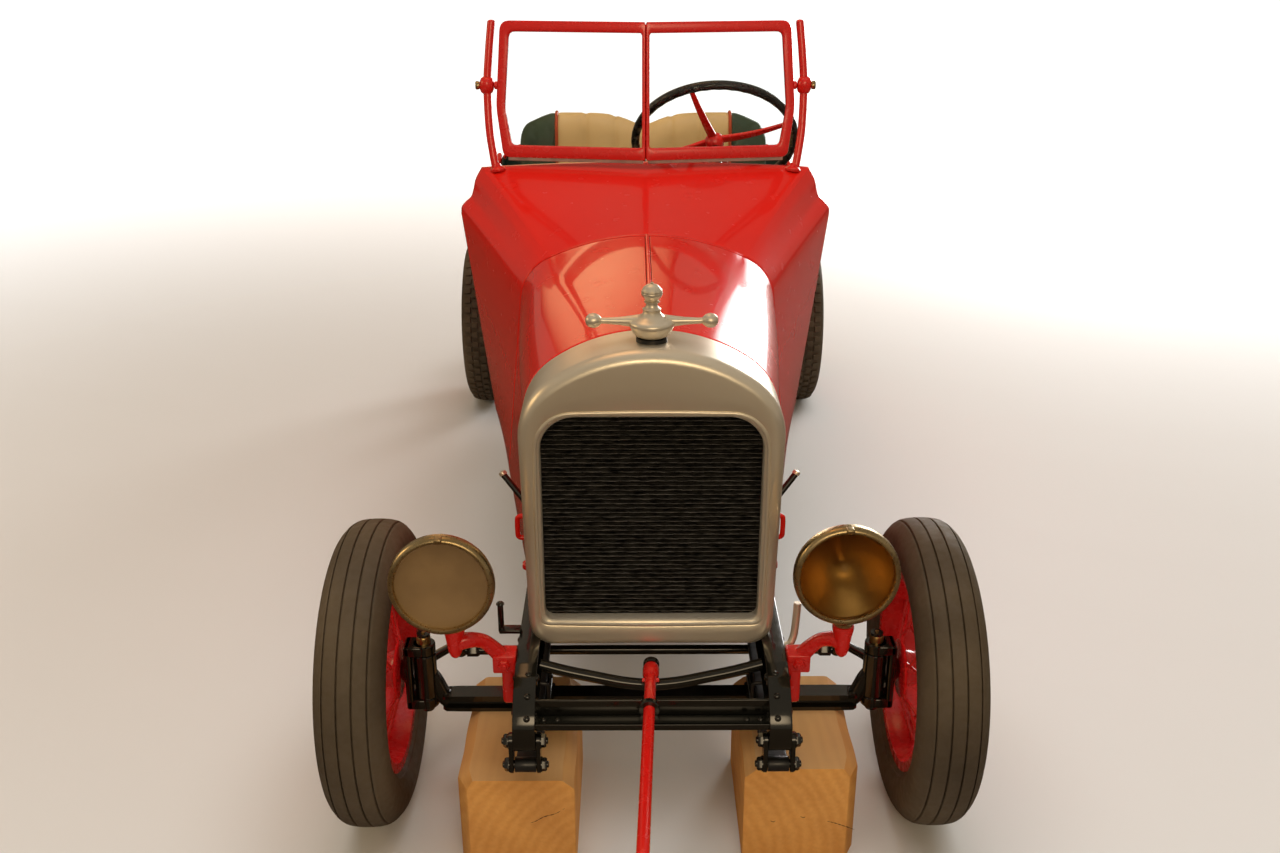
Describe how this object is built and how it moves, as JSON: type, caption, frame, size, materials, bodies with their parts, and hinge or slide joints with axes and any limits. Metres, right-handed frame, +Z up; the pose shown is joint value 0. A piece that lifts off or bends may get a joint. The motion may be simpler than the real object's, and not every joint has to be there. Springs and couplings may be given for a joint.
{
  "type": "1920s open two-seat light car",
  "caption": "Open 1920s two-seat light car with vee windscreen, wire wheels, hinged bonnet, working steering, wheels and starting handle, its front axle on timber blocks.",
  "frame": {"origin": "middle of the car's length and width, at the floor", "axes": "+Z up, front of the car towards -Y, +X to the car's left"},
  "size_m": [1.168, 3.105, 1.2911],
  "materials": {
    "red_paint": "glossy bright red coachwork paint",
    "red_enamel": "red enamel on forged and turned parts",
    "black_enamel": "satin black chassis enamel",
    "nickel": "warm satin nickel plate",
    "core_black": "matt black radiator core",
    "rubber": "brown-black rubber with worn tread",
    "leather_tan": "tan pleated leather with dark sides",
    "glass_clear": "clear flat glass",
    "glass_lens": "lightly frosted lamp glass",
    "spring_steel": "black painted leaf springs",
    "engine_iron": "plain cast iron",
    "timber": "sawn fir with cracks and knots",
    "dash_wood": "varnished dark wood",
    "wheel_grip": "dark moulded rim on a red spider"
  },
  "bodies": {
    "chassis": {"frame_rails": "black_enamel", "spring_shackles": "black_enamel", "front_springs": "spring_steel", "rear_springs": "spring_steel", "front_axle": "black_enamel", "rear_axle": "black_enamel", "timber_blocks": "timber", "radiator_shell": "nickel", "radiator_core": "core_black", "radiator_cap": "nickel", "bonnet_hinge": "red_paint", "scuttle": "red_paint", "body_tub": "red_paint", "tail": "red_paint", "dashboard": "dash_wood", "seat_cushion": "leather_tan", "seat_back": "leather_tan", "windscreen_posts": "red_enamel", "steering_column": "black_enamel", "headlamps": "nickel", "headlamp_lenses": "glass_lens", "lamp_brackets": "red_enamel", "engine_block": "engine_iron"},
    "bonnet_left_half": {"bonnet_left": "red_paint"},
    "bonnet_right_half": {"bonnet_right": "red_paint"},
    "windscreen": {"windscreen_frame": "red_enamel", "windscreen_glass": "glass_clear"},
    "steering": {"steering_wheel": "wheel_grip"},
    "handle": {"starting_handle": "red_enamel"},
    "left_knuckle": {"knuckle_left": "black_enamel"},
    "right_knuckle": {"knuckle_right": "black_enamel"},
    "tie": {"tie_rod": "black_enamel"},
    "road_wheel_front_left": {"wheel_front_left": "red_enamel", "tyre_front_left": "rubber"},
    "road_wheel_front_right": {"wheel_front_right": "red_enamel", "tyre_front_right": "rubber"},
    "road_wheel_rear_left": {"wheel_rear_left": "red_enamel", "tyre_rear_left": "rubber"},
    "road_wheel_rear_right": {"wheel_rear_right": "red_enamel", "tyre_rear_right": "rubber"}
  },
  "joints": [
    {"name": "steering_turn", "type": "hinge", "parent": "chassis", "child": "steering", "pos_m": [0.174, 0.3575, 0.986], "axis": [0, 0.766, 0.6428], "range_deg": [-260, 260]},
    {"name": "left_steer", "type": "hinge", "parent": "chassis", "child": "left_knuckle", "pos_m": [-0.401, -0.8925, 0.26], "axis": [0, 0, 1], "range_deg": [-26, 26]},
    {"name": "right_steer", "type": "hinge", "parent": "chassis", "child": "right_knuckle", "pos_m": [0.401, -0.8925, 0.26], "axis": [0, 0, 1], "range_deg": [-26, 26]},
    {"name": "tie_rod_pivot", "type": "hinge", "parent": "left_knuckle", "child": "tie", "pos_m": [-0.36, -0.7425, 0.212], "axis": [0, 0, 1], "range_deg": [-30, 30]},
    {"name": "wheel_spin_front_left", "type": "hinge", "parent": "left_knuckle", "child": "road_wheel_front_left", "pos_m": [-0.487, -0.8925, 0.269], "axis": [1, 0, 0], "continuous": true},
    {"name": "wheel_spin_front_right", "type": "hinge", "parent": "right_knuckle", "child": "road_wheel_front_right", "pos_m": [0.487, -0.8925, 0.269], "axis": [1, 0, 0], "continuous": true},
    {"name": "wheel_spin_rear_left", "type": "hinge", "parent": "chassis", "child": "road_wheel_rear_left", "pos_m": [-0.506, 1.1525, 0.269], "axis": [1, 0, 0], "continuous": true},
    {"name": "wheel_spin_rear_right", "type": "hinge", "parent": "chassis", "child": "road_wheel_rear_right", "pos_m": [0.506, 1.1525, 0.269], "axis": [1, 0, 0], "continuous": true},
    {"name": "bonnet_left_lift", "type": "hinge", "parent": "chassis", "child": "bonnet_left_half", "pos_m": [0, -0.5925, 0.904], "axis": [0, 1, 0], "range_deg": [0, 65]},
    {"name": "bonnet_right_lift", "type": "hinge", "parent": "chassis", "child": "bonnet_right_half", "pos_m": [0, -0.5925, 0.904], "axis": [0, -1, 0], "range_deg": [0, 65]},
    {"name": "windscreen_tilt", "type": "hinge", "parent": "chassis", "child": "windscreen", "pos_m": [0, 0.1295, 1.15], "axis": [-1, 0, 0], "range_deg": [0, 24]},
    {"name": "starting_handle_turn", "type": "hinge", "parent": "chassis", "child": "handle", "pos_m": [0, -1.0105, 0.349], "axis": [-0.0384, -0.9993, 0], "continuous": true}
  ],
  "couplings": [
    {"joint": "left_steer", "follows": "steering_turn", "ratio": 0.1},
    {"joint": "right_steer", "follows": "steering_turn", "ratio": 0.1},
    {"joint": "tie_rod_pivot", "follows": "steering_turn", "ratio": -0.1114}
  ]
}
